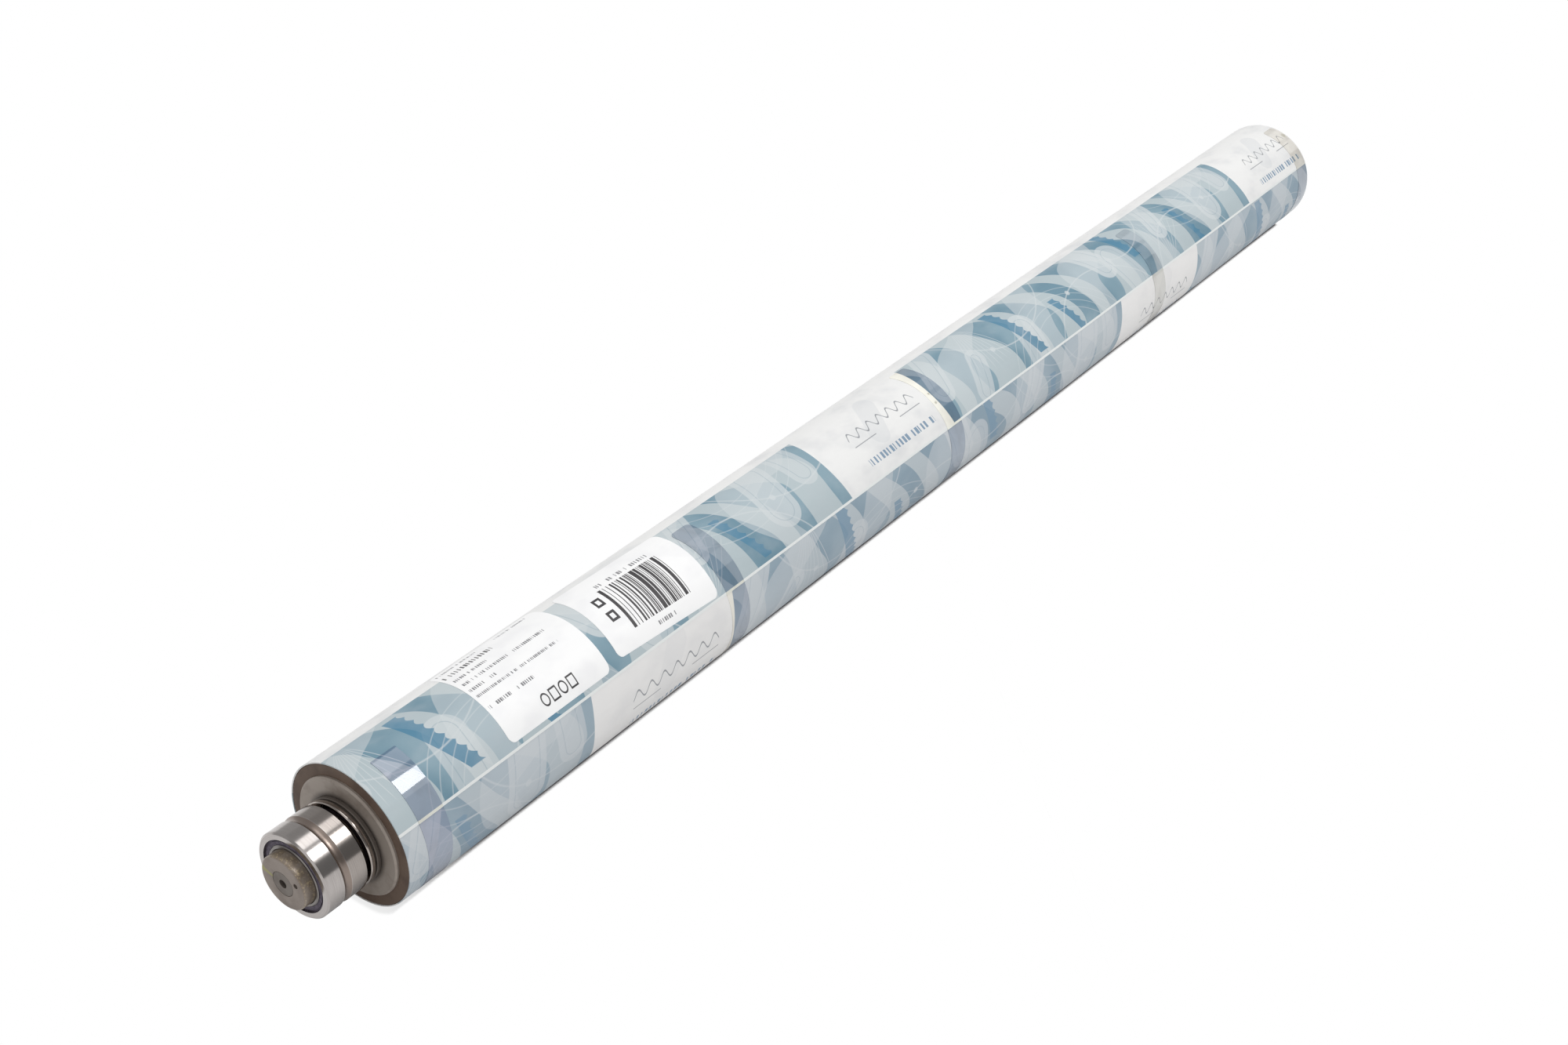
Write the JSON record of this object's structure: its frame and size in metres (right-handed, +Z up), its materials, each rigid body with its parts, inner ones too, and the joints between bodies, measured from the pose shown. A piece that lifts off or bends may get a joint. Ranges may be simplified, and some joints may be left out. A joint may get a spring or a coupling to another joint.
{
  "type": "inking roller",
  "caption": "Rubber-covered steel inking roller of an offset press, wrapped in printed protective paper, with sealed needle bearings on its journals.",
  "frame": {"origin": "on the roller's axis, halfway between the two journal tips", "axes": "+X along the roller's axis, from the near end with the grooved bearing to the far end; +Z up as the roller lies in the picture; -Y towards the camera"},
  "size_m": [1.081, 0.0814, 0.0816],
  "materials": {
    "core_steel": "turned steel",
    "bearing_steel": "ground and polished",
    "cover_rubber": "matt brown-grey rubber",
    "seal_rubber": "purple-grey seal",
    "cage_plastic": "glass-filled plastic",
    "wrap_paper": "glossy coated paper, printed blue-grey",
    "tape": "aged translucent tape",
    "label_paper": "white label stock"
  },
  "bodies": {
    "roller": {"core_tube": "core_steel", "rubber_cover": "cover_rubber", "near_journal": "core_steel", "near_centre_plug": "core_steel", "near_shoulder_ring": "bearing_steel", "near_bearing_inner_ring": "bearing_steel", "far_journal": "core_steel", "far_shoulder_ring": "bearing_steel", "far_bearing_inner_ring": "bearing_steel", "printed_wrap": "wrap_paper", "tape_strip_1": "tape", "tape_strip_2": "tape", "tape_strip_3": "tape", "tape_strip_4": "tape", "tape_strip_5": "tape", "size_label": "label_paper", "barcode_label": "label_paper"},
    "near_bearing_shell": {"near_bearing_outer_ring": "bearing_steel", "near_bearing_front_seal": "seal_rubber", "near_bearing_back_seal": "seal_rubber"},
    "near_needle_set": {"near_bearing_needles": "bearing_steel", "near_bearing_cage": "cage_plastic"},
    "far_bearing_shell": {"far_bearing_outer_ring": "bearing_steel", "far_bearing_front_seal": "seal_rubber", "far_bearing_back_seal": "seal_rubber"},
    "far_needle_set": {"far_bearing_needles": "bearing_steel", "far_bearing_cage": "cage_plastic"}
  },
  "joints": [
    {"name": "near_bearing_turn", "type": "hinge", "parent": "roller", "child": "near_bearing_shell", "pos_m": [-0.5216, 0, 0], "axis": [1, 0, 0], "continuous": true},
    {"name": "near_needle_turn", "type": "hinge", "parent": "roller", "child": "near_needle_set", "pos_m": [-0.5216, 0, 0], "axis": [1, 0, 0], "continuous": true},
    {"name": "far_bearing_turn", "type": "hinge", "parent": "roller", "child": "far_bearing_shell", "pos_m": [0.5317, 0, 0], "axis": [1, 0, 0], "continuous": true},
    {"name": "far_needle_turn", "type": "hinge", "parent": "roller", "child": "far_needle_set", "pos_m": [0.5317, 0, 0], "axis": [1, 0, 0], "continuous": true}
  ],
  "couplings": [
    {"joint": "near_needle_turn", "follows": "near_bearing_turn", "ratio": 0.5393},
    {"joint": "far_needle_turn", "follows": "far_bearing_turn", "ratio": 0.5393}
  ]
}
